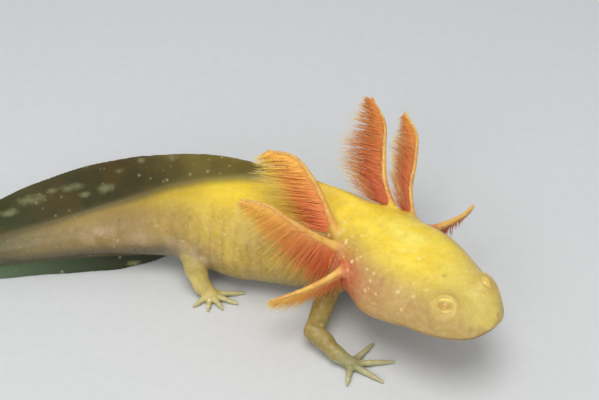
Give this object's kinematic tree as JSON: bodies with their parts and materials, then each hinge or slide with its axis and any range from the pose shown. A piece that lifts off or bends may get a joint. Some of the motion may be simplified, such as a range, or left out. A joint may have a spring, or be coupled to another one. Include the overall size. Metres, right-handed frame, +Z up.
{
  "type": "axolotl",
  "caption": "Still, life-size golden axolotl resting on its belly and spread feet, with feathery gills, a finned tail curving back, and its broad head turned to one side.",
  "frame": {"origin": "middle of the animal's bounding box in plan, on the ground it rests on", "axes": "+X from the tail towards the head end along the body's longest extent, +Y to the animal's left, +Z up"},
  "size_m": [0.2, 0.0924, 0.0501],
  "materials": {
    "back": "moist golden yellow skin",
    "flank": "moist tan-gold skin",
    "cheek": "moist pinkish tan skin",
    "limb": "moist pale tan skin",
    "fin": "translucent olive membrane with pale specks",
    "gill": "orange-red stalks with fine fringes",
    "eye": "wet pale gold"
  },
  "bodies": {
    "root": {"head": "back", "lower_jaw": "cheek", "eye_left": "eye", "eye_right": "eye", "neck": "back", "trunk_front": "back", "trunk_rear": "flank", "tail_base": "flank", "tail_middle": "flank", "tail_tip": "flank", "dorsal_fin_trunk": "fin", "dorsal_fin_tail_base": "fin", "dorsal_fin_tail_middle": "fin", "dorsal_fin_tail_tip": "fin", "ventral_fin_tail_base": "fin", "ventral_fin_tail_middle": "fin", "ventral_fin_tail_tip": "fin", "foreleg_right_upper": "limb", "foreleg_right_lower": "limb", "foreleg_right_foot": "limb", "foreleg_left_upper": "limb", "foreleg_left_lower": "limb", "foreleg_left_foot": "limb", "hindleg_right_upper": "limb", "hindleg_right_lower": "limb", "hindleg_right_foot": "limb", "hindleg_left_upper": "limb", "hindleg_left_lower": "limb", "hindleg_left_foot": "limb", "gill_left_upper": "gill", "gill_left_middle": "gill", "gill_left_lower": "gill", "gill_right_upper": "gill", "gill_right_middle": "gill", "gill_right_lower": "gill"}
  },
  "joints": []
}
